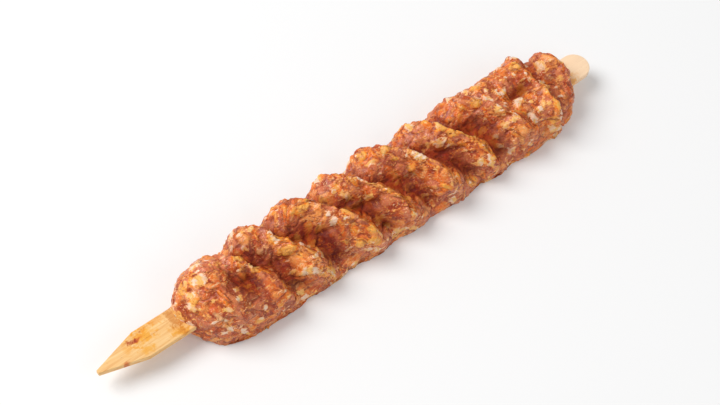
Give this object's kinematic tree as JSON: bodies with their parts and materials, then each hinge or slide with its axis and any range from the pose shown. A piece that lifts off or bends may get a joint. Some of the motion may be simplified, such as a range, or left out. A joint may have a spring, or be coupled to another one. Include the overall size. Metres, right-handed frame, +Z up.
{
  "type": "kofta skewer",
  "caption": "Raw minced meat squeezed by hand into ridges along a flat wooden stick with a pointed tip and a rounded end.",
  "frame": {"origin": "middle of the footprint on the surface that the meat lies on", "axes": "+X along the stick from its pointed tip to its rounded end, +Z up, +Y across the skewer"},
  "size_m": [0.2, 0.0312, 0.0202],
  "materials": {
    "birch_wood": "bare sanded pale birch with fine lengthwise grain, stained orange by spiced fat near the meat",
    "minced_meat": "moist raw minced meat, reddish brown, marbled with cream fat and orange spice paste"
  },
  "bodies": {
    "root": {"wooden_stick": "birch_wood", "minced_meat": "minced_meat"}
  },
  "joints": []
}
